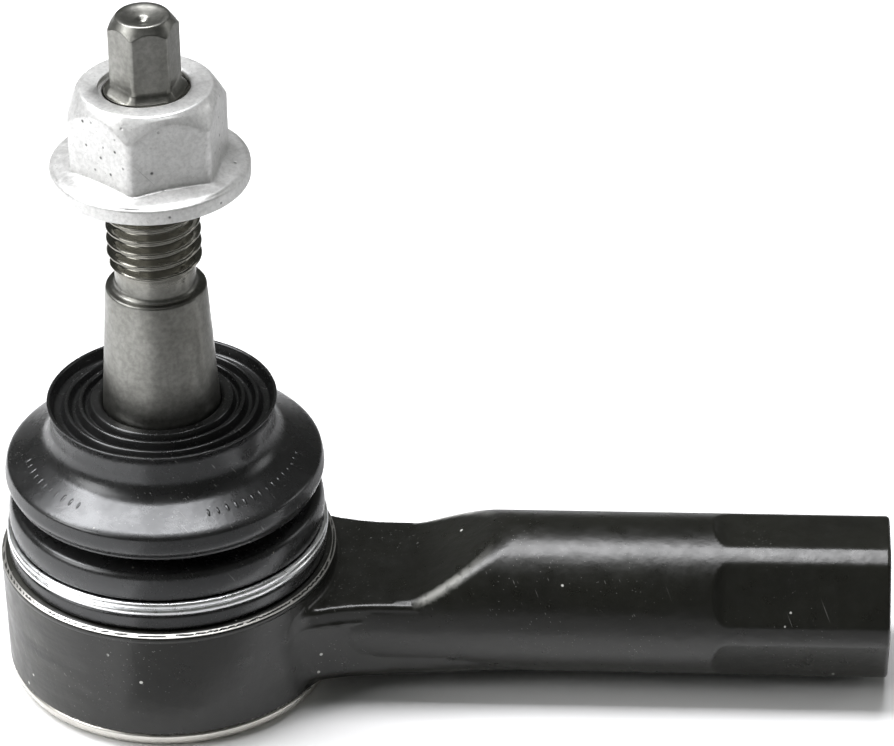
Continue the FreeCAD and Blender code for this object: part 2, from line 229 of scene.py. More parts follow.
def forging(x, y, z):
    """Signed distance to the forging's skin, near enough for meshing; negative in the steel."""
    r = np.hypot(x, y)
    angle = np.arctan2(-y, -x)
    wall = r - eye_radius + eye_draft * (shoulder - z) / (shoulder - eye_bottom)
    for around, height, depth, width in hammer_marks:
        away = np.hypot((angle - around) * eye_radius * 0.6, z - height)
        wall = wall + depth * np.exp(-(away / width) ** 2)
    wall = np.where(z > shoulder - shoulder_depth, wall + skin_step, wall)
    drum = both(wall, z - shoulder + skin_step, shoulder_round)
    drum = both(drum, wall_bottom - z, 0.2)
    body = either(drum, arm_and_shank(x, y, z), eye_fillet)
    body = np.minimum(body, ring_band(r, z, neck_radius, 0, neck_top))
    body = np.minimum(body, ring_band(r, z, neck_radius + neck_lip, neck_top - neck_lip_height, neck_top))
    return np.maximum(np.maximum(body, -socket_hollow(r, z)), -rod_hole(x, y, z))


def slope_of(shape, points, step=0.02):
    """Gradient of a form at points, by differences."""
    slopes = np.empty_like(points)
    for axis in range(3):
        shift = np.zeros(3)
        shift[axis] = step
        slopes[:, axis] = (shape(*(points + shift).T) - shape(*(points - shift).T)) / (2 * step)
    return slopes


def skin_of(shape, lines):
    """Points, faces and outward directions of a form's surface, found on an uneven grid."""
    middles = [0.5 * (a[1:] + a[:-1]) for a in lines]
    inside = shape(*np.meshgrid(*lines, indexing="ij")) < 0
    count = np.zeros([len(m) for m in middles], int)
    corner = [slice(None, -1), slice(1, None)]
    for i in range(8):
        count += inside[corner[i & 1], corner[i >> 1 & 1], corner[i >> 2 & 1]]
    cells = np.nonzero((count > 0) & (count < 8))
    number = np.full(count.shape, -1)
    number[cells] = np.arange(len(cells[0]))
    points = np.stack([middles[a][cells[a]] for a in range(3)], 1)
    for _ in range(6):
        slopes = slope_of(shape, points)
        steep = np.maximum((slopes ** 2).sum(1), 0.05)
        points -= np.clip(shape(*points.T) / steep, -0.3, 0.3)[:, None] * slopes
    slopes = slope_of(shape, points)
    slopes /= np.maximum(np.linalg.norm(slopes, axis=1), 1e-6)[:, None]
    faces = []
    for axis in range(3):
        b, c = (axis + 1) % 3, (axis + 2) % 3
        state = np.moveaxis(inside, (axis, b, c), (0, 1, 2))
        cell = np.moveaxis(number, (axis, b, c), (0, 1, 2))
        i, j, k = np.nonzero(state[:-1, 1:-1, 1:-1] != state[1:, 1:-1, 1:-1])
        quad = np.stack([cell[i, j, k], cell[i, j + 1, k], cell[i, j + 1, k + 1], cell[i, j, k + 1]], 1)
        inward = ~state[i, j + 1, k + 1]
        quad[inward] = quad[inward][:, ::-1]
        faces.append(quad)
    return points, np.concatenate(faces), slopes


def grid_line(*stretches):
    """Grid planes along one axis from (start, end, step) stretches."""
    parts = [np.arange(start, end - step / 2, step) for start, end, step in stretches]
    return np.concatenate(parts + [[stretches[-1][1]]])


def put_in_scene(name, data):
    """A new object at the origin."""
    made = bpy.data.objects.new(name, data)
    bpy.context.scene.collection.objects.link(made)
    return made


def piece_from(name, points, faces, directions=None):
    """A smooth-shaded mesh object in metres from points in millimetres."""
    mesh = bpy.data.meshes.new(name)
    if isinstance(faces, np.ndarray):
        faces = faces.tolist()
    mesh.from_pydata((points * MM).tolist(), [], faces)
    mesh.validate()
    mesh.shade_smooth()
    if directions is not None and len(directions) == len(mesh.vertices):
        mesh.normals_split_custom_set_from_vertices(directions.tolist())
    return put_in_scene(name, mesh)


# dents left on the eye: angle round from the far side of the arm, height, depth, size
hammer_marks = [
    (1.02, -3.2, 0.10, 1.6), (0.86, -4.8, 0.08, 1.0), (1.12, -6.6, 0.09, 0.8),
    (0.70, -1.6, 0.06, 1.4),
]

# grid planes along X, Y and Z, closer together where edges are crisp
forging_grid = (
    grid_line((-22.1, 29.6, 0.5), (29.6, 44.6, 0.33), (44.6, 68.6, 0.8), (68.6, 73.2, 0.3),
              (73.2, 90.8, 0.8), (90.8, 92.8, 0.16)),
    grid_line((-22.1, 22.1, 0.5)),
    grid_line((-11.7, -10.7, 0.16), (-10.7, -1.7, 0.5), (-1.7, 0.1, 0.15), (0.1, 3.5, 0.4),
              (3.5, 4.7, 0.12), (4.7, 8.7, 0.5)),
)
housing = piece_from("housing_forging", *skin_of(forging, forging_grid))

# how far the painted highlight reaches round the crisp edge where the ramp cuts into the shank
skin = np.array([v.co for v in housing.data.vertices]) / MM
from_bar = np.hypot(skin[:, 1], skin[:, 2] - shank_axis) - shank_radius
from_ramp = (skin[:, 2] - ramp_height(skin[:, 0])) / math.hypot(1, ramp_slope)
highlight_reach, highlight_fade, highlight_end = 0.42, 0.45, 42.0
ridge_highlight = np.clip(1.0 - (np.hypot(from_bar, from_ramp) - highlight_reach) / highlight_fade, 0, 1)
ridge_highlight *= np.clip((skin[:, 0] - ramp_foot) / 1.5, 0, 1) * np.clip((highlight_end - skin[:, 0]) / 5, 0, 1)
ridge_highlight_share = housing.data.attributes.new("ridge_highlight", "FLOAT", "POINT")
ridge_highlight_share.data.foreach_set("value", ridge_highlight.astype(np.float32))


class Finish:
    """A procedural finish being put together on one Principled shader, in object coordinates."""

    def __init__(self, name, **sockets):
        self.material = bpy.data.materials.new(name)
        self.material.use_nodes = True
        self.tree = self.material.node_tree
        self.shader = self.tree.nodes["Principled BSDF"]
        for key, value in sockets.items():
            self.shader.inputs[key.replace("_", " ")].default_value = value
        self.place = self.tree.nodes.new("ShaderNodeTexCoord").outputs["Object"]
        self.bumped = None

    def node(self, kind, links=(), **values):
        """One shader node, with its settings, its own numbers and what goes into it."""
        made = self.tree.nodes.new("ShaderNode" + kind)
        for key, value in values.items():
            if hasattr(made, key):
                setattr(made, key, value)
            else:
                made.inputs[key.replace("_", " ")].default_value = value
        for socket, source in dict(links).items():
            self.tree.links.new(source, made.inputs[socket])
        return made

    def stretched(self, scale, turn=(0, 0, 0)):
        """Object coordinates drawn out or turned, for grain and scratches."""
        made = self.node("Mapping", {"Vector": self.place}, Scale=scale, Rotation=turn)
        return made.outputs["Vector"]

    def noise(self, scale, detail=3.0, rough=0.5, place=None, seed=0.0):
        made = self.node("TexNoise", {"Vector": place or self.place}, noise_dimensions="4D",
                         W=seed, Scale=scale, Detail=detail, Roughness=rough)
        return made.outputs["Fac"]

    def cells(self, scale, place=None):
        """Distance from scattered points, for specks, pits and scratches."""
        made = self.node("TexVoronoi", {"Vector": place or self.place}, Scale=scale, Randomness=1.0)
        return made.outputs["Distance"]

    def flecks(self, scale, small, large, where):
        """Dots at scattered points, from a full to a fading edge, only where a mask lets them be."""
        return self.math("MULTIPLY", self.spread(self.cells(scale), small, large, 1, 0), where)

    def scratches(self, turn, length=0.0022, width=0.00005):
        """Thin straight lines scattered at one slant, each fading at its ends."""
        drawn = self.node("Mapping", {"Vector": self.place}, vector_type="TEXTURE", Rotation=turn,
                          Scale=(length * 10, width * 10, width * 10))
        return self.spread(self.cells(1.0, drawn.outputs["Vector"]), 0.04, 0.11, 1, 0)

    def spread(self, value, low, high, to_low=0.0, to_high=1.0):
        made = self.node("MapRange", {"Value": value})
        keys = ("From Min", "From Max", "To Min", "To Max")
        for key, number in zip(keys, (low, high, to_low, to_high)):
            made.inputs[key].default_value = number
        return made.outputs["Result"]

    def math(self, operation, a, b):
        made = self.node("Math", operation=operation)
        for socket, value in zip(made.inputs, (a, b)):
            if isinstance(value, (int, float)):
                socket.default_value = value
            else:
                self.tree.links.new(value, socket)
        return made.outputs["Value"]

    def colour(self, share, under, over):
        """Colour that goes from one to another as the share rises; each a colour or an output."""
        made = self.node("Mix", {"Factor": share}, data_type="RGBA")
        for socket, value in ((made.inputs[6], under), (made.inputs[7], over)):
            if isinstance(value, tuple):
                socket.default_value = (*value, 1)
            else:
                self.tree.links.new(value, socket)
        return made.outputs[2]

    def feed(self, socket, output):
        self.tree.links.new(output, self.shader.inputs[socket])

    def bump(self, height, distance, strength=1.0):
        """Adds one more layer of relief, in metres, on top of the last."""
        links = {"Height": height}
        if self.bumped is not None:
            links["Normal"] = self.bumped
        self.bumped = self.node("Bump", links, Distance=distance, Strength=strength).outputs["Normal"]
        self.feed("Normal", self.bumped)

    def axis(self, name):
        return self.node("SeparateXYZ", {"Vector": self.place}).outputs[name]


def black_coat(name, base=(0.0055, 0.0056, 0.0042)):
    """Dipped black coat: orange peel, dust, fine scratches, and a painted sheen in streaks on the eye's
    left side.
    """
    coat = Finish(name, Specular_IOR_Level=0.5)
    cloudy = coat.spread(coat.noise(90, 4, 0.6), 0.35, 0.7)
    tone = coat.colour(cloudy, base, tuple(1.7 * c for c in base))
    # painted sheen: the eye's left side is lightened to grey in streaks, standing in for the light that
    # falls on it there
    left_side_sheen = coat.spread(coat.axis("X"), -0.019, -0.008, 1, 0)
    sheen_streak_place = coat.stretched((0.5, 0.5, 9), (0.12, 0.1, 0))
    turning = coat.noise(130, 4, 0.65, place=sheen_streak_place, seed=12.0)
    left_side_sheen = coat.math("MULTIPLY", left_side_sheen, coat.spread(turning, 0.35, 0.68))
    tone = coat.colour(left_side_sheen, tone, (0.060, 0.060, 0.052))
    # painted highlight: the crisp edge of the ramp is lightened to grey, broken up by noise
    edge = coat.node("Attribute", attribute_name="ridge_highlight").outputs["Fac"]
    highlight_breaks = coat.spread(coat.noise(800, 2, seed=15.0), 0.32, 0.5, 0.35, 1.0)
    tone = coat.colour(coat.math("MULTIPLY", edge, highlight_breaks), tone, (0.30, 0.30, 0.28))
    dusty = coat.spread(coat.noise(120, 0, 0.5, seed=3.0), 0.6, 0.64)
    tone = coat.colour(coat.flecks(420, 0.07, 0.11, dusty), tone, (0.55, 0.55, 0.52))
    one_way, other_way = coat.scratches((0.5, 0.35, 0.6)), coat.scratches((0.2, -0.9, 2.2))
    scratches = coat.math("MAXIMUM", one_way, other_way)
    worn = coat.spread(coat.noise(70, 2, 0.5, seed=7.0), 0.48, 0.66)
    scratches = coat.math("MULTIPLY", scratches, worn)
    tone = coat.colour(scratches, tone, (0.20, 0.20, 0.19))
    rough = coat.spread(coat.noise(420, 4, 0.65, seed=1.0), 0.3, 0.7, 0.25, 0.38)
    coat.feed("Base Color", tone)
    coat.feed("Roughness", coat.math("ADD", rough, coat.math("MULTIPLY", left_side_sheen, 0.12)))
    coat.bump(coat.noise(620, 3, 0.5, seed=2.0), 0.00006)
    coat.bump(coat.noise(160, 2, 0.5, seed=5.0), 0.00012)
    return coat.material


ROUND = 2 * math.pi


def sheet_round(rows):
    """Faces that join rows of points round an axis; rows is their count and the points in each."""
    count, around = rows
    ring = np.arange(around)
    after = (ring + 1) % around
    faces = []
    for k in range(count - 1):
        a, b = k * around, (k + 1) * around
        faces.append(np.stack([a + ring, a + after, b + after, b + ring], 1))
    return np.concatenate(faces).tolist()


def closed_round(rows):
    """The same, with the last row joined back to the first."""
    count, around = rows
    last = (count - 1) * around
    joint = [[last + i, last + (i + 1) % around, (i + 1) % around, i] for i in range(around)]
    return sheet_round(rows) + joint


def points_round(radius, height, angle):
    """Points at radii, heights and angles round Z, as one list."""
    across, along = radius * np.cos(angle), radius * np.sin(angle)
    return np.stack([across, along, height + 0 * angle], 2).reshape(-1, 3)


def turned_piece(name, path, around):
    """Closed piece of revolution round Z from a closed (radius, height) path, outside going up."""
    r, z = (np.array(v)[:, None] for v in zip(*path))
    angle = np.linspace(0, ROUND, around, endpoint=False)[None, :]
    return piece_from(name, points_round(r, z, angle), closed_round((len(path), around)))


def arc_points(centre, radius, start, end, count):
    """(radius, height) points along an arc; angles in degrees from outward, up positive."""
    angles = np.radians(np.linspace(start, end, count))
    return [(centre[0] + radius * math.cos(a), centre[1] + radius * math.sin(a)) for a in angles]


def straight(start, end, count):
    """Points from one (radius, height) to another, without the last."""
    return [tuple(p) for p in np.linspace(start, end, count, endpoint=False)]


coat = black_coat("black_coat_forging")
shoulder_foot = shoulder - shoulder_depth
worn_sink = 0.09        # how much lower the coated chamfer lies than the bare ring over it
shoulder_path = [
    (neck_radius - 0.3, shoulder_foot), (eye_radius - 0.2, shoulder_foot),
    (eye_radius - 0.02, shoulder_foot + 0.06), (eye_radius, shoulder - chamfer_drop - 0.12),
]
shoulder_path += straight(
    (eye_radius - 0.07, shoulder - chamfer_drop - worn_sink),
    (eye_radius - chamfer_width - 0.04, shoulder - worn_sink), 4)
shoulder_path += [
    (eye_radius - chamfer_width - 0.09, shoulder), (eye_radius - 1.6, shoulder),
    (neck_radius - 0.3, shoulder),
]
shoulder_ring = turned_piece("housing_machined_shoulder", shoulder_path, 240)
for piece in (housing, shoulder_ring):
    piece.data.materials.append(coat)
    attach(piece, "housing")
    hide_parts("housing")

# ---- Thread in the shank -------------------------------------------------------------------------
# The shank is drilled and tapped M14 for the inner rod. The thread is cut after coating, so it
# is oily bare steel; here it is a sleeve that lines the hole, open at the shank's end.


def thread_height(turns):
    """Share of an ISO thread's depth, from 0 on the crest to 1 in the root."""
    from_crest = np.abs(turns - np.round(turns))
    return np.clip((from_crest - 1 / 16) / (5 / 16), 0, 1)


rod_pitch = 1.5
rod_round = 72
rod_start = rod_hole_end + 0.3
rod_stop = shank_end - 1.2
rod_rows = int((rod_stop - rod_start) / rod_pitch * 10)
rod_x = np.linspace(rod_start, rod_stop, rod_rows)[:, None]
rod_angle = np.linspace(0, ROUND, rod_round, endpoint=False)[None, :]
rod_depth = 1 - thread_height(rod_x / rod_pitch - rod_angle / ROUND)
lead_in = np.clip((rod_stop - rod_x) / 0.9, 0, 1)
rod_radius = rod_thread_minor + rod_thread_depth * (1 - (1 - rod_depth) * lead_in)
sleeve_back = np.full((2, rod_round), rod_wall - 0.02)
rod_xs = np.concatenate([rod_x, [[rod_stop]], [[rod_start]]]) + 0 * rod_angle
rod_rs = np.concatenate([rod_radius, sleeve_back])
rod_ys, rod_zs = rod_rs * np.sin(rod_angle), shank_axis + rod_rs * np.cos(rod_angle)
rod_points = np.stack([rod_xs, rod_ys, rod_zs], 2)
rod_thread = piece_from("rod_thread_sleeve", rod_points.reshape(-1, 3), closed_round(rod_xs.shape))


def cut_steel(name, base, roughness, grain=(1, 1, 30), mottle=0.25):
    """Bare steel: machining lines, soft stains and small dark spots."""
    steel = Finish(name, Metallic=1.0)
    stain = steel.spread(steel.noise(140, 4, 0.6), 0.3, 0.7)
    tone = steel.colour(stain, base, tuple((1 - mottle) * c for c in base))
    stained = steel.spread(steel.noise(150, 1, seed=4.0), 0.6, 0.64)
    tone = steel.colour(steel.flecks(420, 0.05, 0.09, stained), tone, (0.10, 0.09, 0.07))
    lines = steel.noise(220, 3, 0.6, place=steel.stretched(grain), seed=6.0)
    steel.feed("Base Color", tone)
    steel.feed("Roughness", steel.spread(lines, 0.25, 0.75, roughness - 0.06, roughness + 0.08))
    steel.bump(lines, 0.000012)
    steel.bump(steel.noise(700, 3), 0.000012)
    return steel.material


tapped_steel = cut_steel("tapped_steel", (0.22, 0.21, 0.19), 0.35, (30, 1, 1))
rod_thread.data.materials.append(tapped_steel)
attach(rod_thread, "housing")

# ---- Rolled edge ---------------------------------------------------------------------------------
# The eye's lower edge is rolled in over the cover after coating, which scrapes it bright. A
# narrow step, where the roller stopped, parts it from the coated wall. The chamfer round the
# machined shoulder has its coat worn off too, and is a thin bare ring.
edge_radius = eye_radius - eye_draft
cover_seat = cover_low.z + 0.35
lip_radius = cover_recess - rolled_width
edge_round = 1.6
edge_path = [
    (cover_recess, wall_bottom + 0.1), (cover_recess, cover_seat), (lip_radius, cover_seat),
    (lip_radius, eye_bottom + 0.25), (lip_radius + 0.25, eye_bottom),
]
edge_path += arc_points((edge_radius - 1.75, eye_bottom + edge_round), edge_round, -88, 8, 16)
edge_path += [
    (edge_radius - 0.35, wall_bottom - 0.3), (edge_radius - 0.62, wall_bottom - 0.12),
    (edge_radius - 0.62, wall_bottom + 0.1),
]
rolled_edge = turned_piece("housing_rolled_edge", edge_path, 240)
burnished_edge = cut_steel("burnished_edge", (0.80, 0.78, 0.73), 0.3, (1, 1, 12), 0.2)
rolled_edge.data.materials.append(burnished_edge)
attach(rolled_edge, "housing")

worn_path = [
    (eye_radius - 0.06, shoulder - chamfer_drop - 0.16),
    (eye_radius - 0.001, shoulder - chamfer_drop - 0.06),
    (eye_radius - 0.012, shoulder - chamfer_drop),
    (eye_radius - chamfer_width + 0.01, shoulder - 0.008),
    (eye_radius - chamfer_width - 0.1, shoulder - 0.1),
    (eye_radius - 0.2, shoulder - chamfer_drop - 0.16),
]
worn_edge = turned_piece("housing_worn_edge", worn_path, 240)
worn_edge.data.shade_flat()
worn_bare_edge = cut_steel("worn_bare_edge", (0.62, 0.61, 0.58), 0.38, (1, 1, 1), 0.3)
worn_edge.data.materials.append(worn_bare_edge)
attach(worn_edge, "housing")

# ---- Socket --------------------------------------------------------------------------------------
# Two acetal half seats hold the ball, a disc spring pushes the lower one up, and a zinc-plated
# cover shuts the socket from below. These keep their exact shapes and get their finishes here.


def moulded_acetal(name):
    """Natural acetal: milky, faintly cloudy, with a fine moulded skin."""
    acetal = Finish(name, Subsurface_Weight=0.08, Specular_IOR_Level=0.5)
    tone = acetal.colour(acetal.noise(120, 3), (0.72, 0.70, 0.63), (0.60, 0.57, 0.49))
    acetal.feed("Base Color", tone)
    acetal.feed("Roughness", acetal.spread(acetal.noise(500, 3, seed=1.0), 0.3, 0.7, 0.3, 0.48))
    acetal.bump(acetal.noise(900, 2, seed=2.0), 0.00002)
    return acetal.material


def plated_steel(name):
    """Zinc plate over pressed steel: pale, faintly yellow, with press rings and handling marks."""
    plate = Finish(name, Metallic=1.0)
    rings = plate.node("TexWave", {"Vector": plate.place}, wave_type="RINGS", rings_direction="Z",
                       Scale=420, Distortion=1.5, Detail=2).outputs["Fac"]
    stain = plate.spread(plate.noise(70, 4, 0.6), 0.35, 0.7)
    plate.feed("Base Color", plate.colour(stain, (0.62, 0.60, 0.54), (0.42, 0.41, 0.37)))
    plate.feed("Roughness", plate.spread(plate.noise(260, 4, seed=2.0), 0.3, 0.7, 0.26, 0.46))
    plate.bump(rings, 0.00001)
    plate.bump(plate.noise(340, 3, seed=3.0), 0.00003)
    return plate.material


def finish_node(node, material):
    """Puts a finish on a carried-over node, in every slot it has."""
    mesh = frame["nodes"][node].data
    mesh.materials.clear()
    mesh.materials.append(material)


acetal = moulded_acetal("acetal_seat")
finish_node("upper_bearing_seat", acetal)
finish_node("lower_bearing_seat", acetal)
finish_node("preload_spring", cut_steel("blued_spring_steel", (0.16, 0.17, 0.20), 0.3, (1, 1, 8)))
finish_node("cover_plate", plated_steel("zinc_plated_cover"))

# ---- Ball stud -----------------------------------------------------------------------------------
# Cold-headed steel: ball, neck, 1:8 cone, undercut and rolled M12 thread on one axis, with an
# 8 mm hexagon tip that a socket holds while the nut is turned.
stud_low, stud_high = box_mm("ball_stud")
ball_radius = -stud_low.z
stud_tip = stud_high.z
cone_base_height = mount("stud_taper")["pos_m"][2] / MM
cone_length = 21.5
cone_top = cone_base_height + cone_length
cone_small_radius = 6.35
stud_neck_radius = 5.8
undercut_radius = 5.08
undercut_top = cone_top + 2.7
stud_pitch = 1.75
thread_major = 5.93
thread_depth = 0.6134 * stud_pitch
hex_base_radius = 5.03
hex_start = stud_tip - 9.55
thread_end = hex_start - 0.35
hex_half = 3.9
hex_corner = 4.4
hex_end_radius = 3.35
hex_turn = math.radians(15.8)
hex_scoop = 1.0
stud_round = 180


def cone_radius(height):
    return cone_small_radius + (cone_top - height) / 16


def hexagon_radius(angle, half_across, turn):
    """Distance from the axis to a hexagon's side; turn is one face's angle from -Y towards +X."""
    away = (angle - (turn - math.pi / 2) + math.pi / 6) % (math.pi / 3) - math.pi / 6
    return half_across / np.cos(away)


def stud_thread(height, angle):
    """Radius of the rolled thread, with its root and crest eased."""
    root = thread_height(height / stud_pitch - angle / ROUND)
    return thread_major - thread_depth * (root * root * (3 - 2 * root) + root) / 2


neck_angle = math.degrees(math.acos(stud_neck_radius / ball_radius))
neck_height = ball_radius * math.sin(math.radians(neck_angle))
stud_path = arc_points((0, 0), ball_radius, -88, neck_angle, 48)
stud_path += straight((stud_neck_radius, neck_height + 0.2), (stud_neck_radius, neck_height + 2.6), 3)
swell = np.linspace(0, 1, 14, endpoint=False)
swell_start = neck_height + 2.6
cone_base_radius = cone_radius(cone_base_height)
stud_path += [
    (stud_neck_radius + (cone_base_radius - stud_neck_radius) * s ** 1.45,
     swell_start + (cone_base_height - swell_start) * s) for s in swell
]
cone_end = (cone_radius(cone_top - 0.5), cone_top - 0.5)
stud_path += straight((cone_base_radius, cone_base_height), cone_end, 22)
stud_path += arc_points((cone_small_radius - 0.35, cone_top - 0.35), 0.35, 5, 80, 5)
stud_path += arc_points((undercut_radius + 0.75, cone_top + 0.75), 0.75, 265, 180, 7)
stud_path += straight((undercut_radius, cone_top + 0.9), (undercut_radius, undercut_top), 8)
thread_rows = int((thread_end - undercut_top) / stud_pitch * 14)
stud_path += straight((thread_major, undercut_top), (thread_major, thread_end), thread_rows)
stud_path += straight((hex_base_radius, thread_end), (hex_base_radius, hex_start), 6)
stud_path += straight((hex_corner, hex_start), (hex_corner, hex_start + 2.4), 22)
stud_path += straight((hex_corner, hex_start + 2.4), (hex_corner, stud_tip - 2.2), 8)
stud_path += straight((hex_corner, stud_tip - 2.2), (hex_corner, stud_tip - 0.12), 26)
stud_path += [(hex_end_radius, stud_tip - 0.1), (hex_end_radius - 0.12, stud_tip)]
dished_end = [(2.75, 0.02), (2.4, 0.14), (1.6, 0.42), (0.9, 0.5), (0.75, 0.56), (0.45, 0.95), (0.1, 1.1)]
stud_path += [(radius, stud_tip - depth) for radius, depth in dished_end]
stud_r = np.array([p[0] for p in stud_path])[:, None]
stud_z = np.array([p[1] for p in stud_path])[:, None]
stud_angle = np.linspace(0, ROUND, stud_round, endpoint=False)[None, :]
radii = stud_r + 0 * stud_angle

threaded = (stud_z >= undercut_top - 1e-6) & (stud_z < thread_end - 1e-6)
envelope = np.minimum(thread_major, undercut_radius + (stud_z - undercut_top) * 1.1)
envelope = np.minimum(envelope, hex_base_radius + (thread_end - stud_z) * 1.0)
fade_in = np.clip((stud_z - undercut_top) / 1.2, 0, 1)
threaded_radius = np.minimum(envelope, stud_thread(stud_z, stud_angle))
threaded_radius = undercut_radius + (threaded_radius - undercut_radius) * fade_in
radii = np.where(threaded, threaded_radius, radii)

on_hex = (stud_z >= thread_end - 1e-6) & (stud_r > 3)
scoop = np.clip(hex_start + hex_scoop - stud_z, 0, None)
flats = hexagon_radius(stud_angle, hex_half + scoop ** 2 / 2.2, hex_turn)
corner_blend = hex_corner + np.clip(hex_start + 0.5 - stud_z, 0, 1) * 0.8
chamfered = hex_end_radius + (stud_tip - 0.1 - stud_z) * 0.72
hexed = np.minimum(np.minimum(flats, corner_blend), chamfered)
radii = np.where(on_hex, np.minimum(hexed, np.where(stud_z > stud_tip - 0.11, stud_r, 9)), radii)
stud_faces = sheet_round(radii.shape)
top_row = (len(stud_path) - 1) * stud_round
stud_faces.append([*range(stud_round)][::-1])
stud_faces.append([top_row + i for i in range(stud_round)])
stud = piece_from("ball_stud_turned", points_round(radii, stud_z, stud_angle), stud_faces)


def stud_steel(name):
    """Phosphated and oiled steel: grey, mottled, smoother in the thread, with traces of rust."""
    steel = Finish(name, Metallic=1.0)
    stain = steel.spread(steel.noise(170, 5, 0.62, place=steel.stretched((1, 1, 0.55))), 0.3, 0.72)
    tone = steel.colour(stain, (0.26, 0.26, 0.243), (0.155, 0.153, 0.138))
    grains = steel.spread(steel.noise(1500, 3, 0.6, seed=11.0), 0.38, 0.62, 0.86, 1.12)
    tone = steel.node("VectorMath", {0: tone, 1: grains}, operation="MULTIPLY").outputs[0]
    thread_zone = steel.spread(steel.axis("Z"), (cone_top + 1.5) * MM, (undercut_top + 1.0) * MM)
    above = steel.spread(steel.axis("Z"), (thread_end - 0.6) * MM, (thread_end + 0.4) * MM, 1, 0)
    in_thread = steel.math("MULTIPLY", thread_zone, above)
    tone = steel.colour(in_thread, tone, (0.23, 0.225, 0.20))
    rust = steel.spread(steel.noise(330, 3, 0.6, seed=9.0), 0.74, 0.78)
    tone = steel.colour(rust, tone, (0.13, 0.09, 0.05))
    turned = steel.noise(200, 3, 0.6, place=steel.stretched((1, 1, 26)), seed=6.0)
    patches = steel.spread(steel.noise(330, 4, 0.6, seed=3.0), 0.3, 0.7, -0.05, 0.07)
    rough = steel.math("ADD", steel.spread(turned, 0.25, 0.75, 0.30, 0.42), patches)
    rough = steel.math("SUBTRACT", rough, steel.math("MULTIPLY", in_thread, 0.18))
    steel.feed("Base Color", tone)
    steel.feed("Roughness", rough)
    steel.bump(turned, 0.00001)
    steel.bump(steel.noise(480, 4, 0.6, seed=2.0), 0.00002)
    return steel.material


stud.data.materials.append(stud_steel("oiled_stud_steel"))
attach(stud, "stud")
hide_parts("ball_stud")

# ---- Dust boot -----------------------------------------------------------------------------------
# Moulded rubber with two folds. Its bead is clamped on the neck, its lipped mouth seals on the
# cone, and grease fills it. It is made as two pieces that meet just above the crease; on the real
# boot the lower fold bends between housing and boot, and the upper one between boot and collar.
ring_low, ring_high = box_mm("boot_clamp_ring")
mouth_height = boot_high.z
bead_foot = boot_low.z
bead_radius = 20.4
clamp_bottom, clamp_top = ring_low.z, ring_high.z
fold_radius = boot_high.x
crease_height = 13.15
crease_radius = 16.8
collar_foot = mouth_height - 5.4
collar_radius = 14.2
boot_wall = 1.7
boot_round = 200
split_height = crease_height + 1.45
split_outside, split_inside = 19.6, 17.0


def eased(points, rounds, count=7):
    """A path with each corner replaced by a tangent curve of its own size."""
    path = [np.array(points[0], float)]
    for before, at, after, size in zip(points, points[1:], points[2:], rounds):
        before, at, after = (np.array(p, float) for p in (before, at, after))
        to_start, to_end = before - at, after - at
        reach = min(size, 0.48 * np.linalg.norm(to_start), 0.48 * np.linalg.norm(to_end))
        start = at + to_start / np.linalg.norm(to_start) * reach
        end = at + to_end / np.linalg.norm(to_end) * reach
        for t in np.linspace(0, 1, count):
            path.append((1 - t) ** 2 * start + 2 * t * (1 - t) * at + t * t * end)
    path.append(np.array(points[-1], float))
    return [tuple(p) for p in path]


neck_fit = neck_radius + 0.1
lip_fit = neck_radius + neck_lip + 0.1
groove_radius = bead_radius - 0.95
lower_outside = [
    (neck_fit, bead_foot), (bead_radius, bead_foot), (bead_radius, clamp_bottom),
    (groove_radius, clamp_bottom), (groove_radius, clamp_top), (fold_radius - 0.45, clamp_top + 0.15),
    (fold_radius - 0.15, clamp_top + 1.9), (fold_radius - 0.55, clamp_top + 3.9),
    (crease_radius + 1.0, crease_height - 0.45), (crease_radius, crease_height),
    (crease_radius + 1.0, crease_height + 0.45), (split_outside, split_height),
]
lower_inside = [
    (split_inside, split_height), (crease_radius - boot_wall, crease_height + 0.5),
    (crease_radius - boot_wall, crease_height - 0.6), (neck_radius + neck_lip + 0.3, clamp_top + 2.0),
    (lip_fit, clamp_top + 0.3), (lip_fit, neck_top - 1.5), (neck_fit, neck_top - 1.5),
    (neck_fit, bead_foot + 0.4),
]
lower_path = eased(lower_outside, [0.5, 0.5, 0.15, 0.1, 0.5, 1.4, 0.8, 0.6, 0.5, 0.6])
lower_path += eased(lower_inside, [0.4, 0.3, 1, 0.4, 0.2, 0.1])
boot_lower = turned_piece("dust_boot_lower_fold", lower_path, boot_round)

mouth_radius = 14.6
upper_outside = [
    (split_outside, split_height), (fold_radius - 0.75, crease_height + 1.75),
    (fold_radius, crease_height + 2.9), (fold_radius - 0.35, crease_height + 4.75),
    (fold_radius - 0.85, crease_height + 5.12), (collar_radius + 1.0, collar_foot - 0.35),
    (collar_radius, collar_foot + 1.3), (collar_radius, mouth_height - 1.1),
    (mouth_radius, mouth_height), (mouth_radius - 0.45, mouth_height),
    (mouth_radius - 0.9, mouth_height - 1.5), (12.75, mouth_height - 1.6),
]
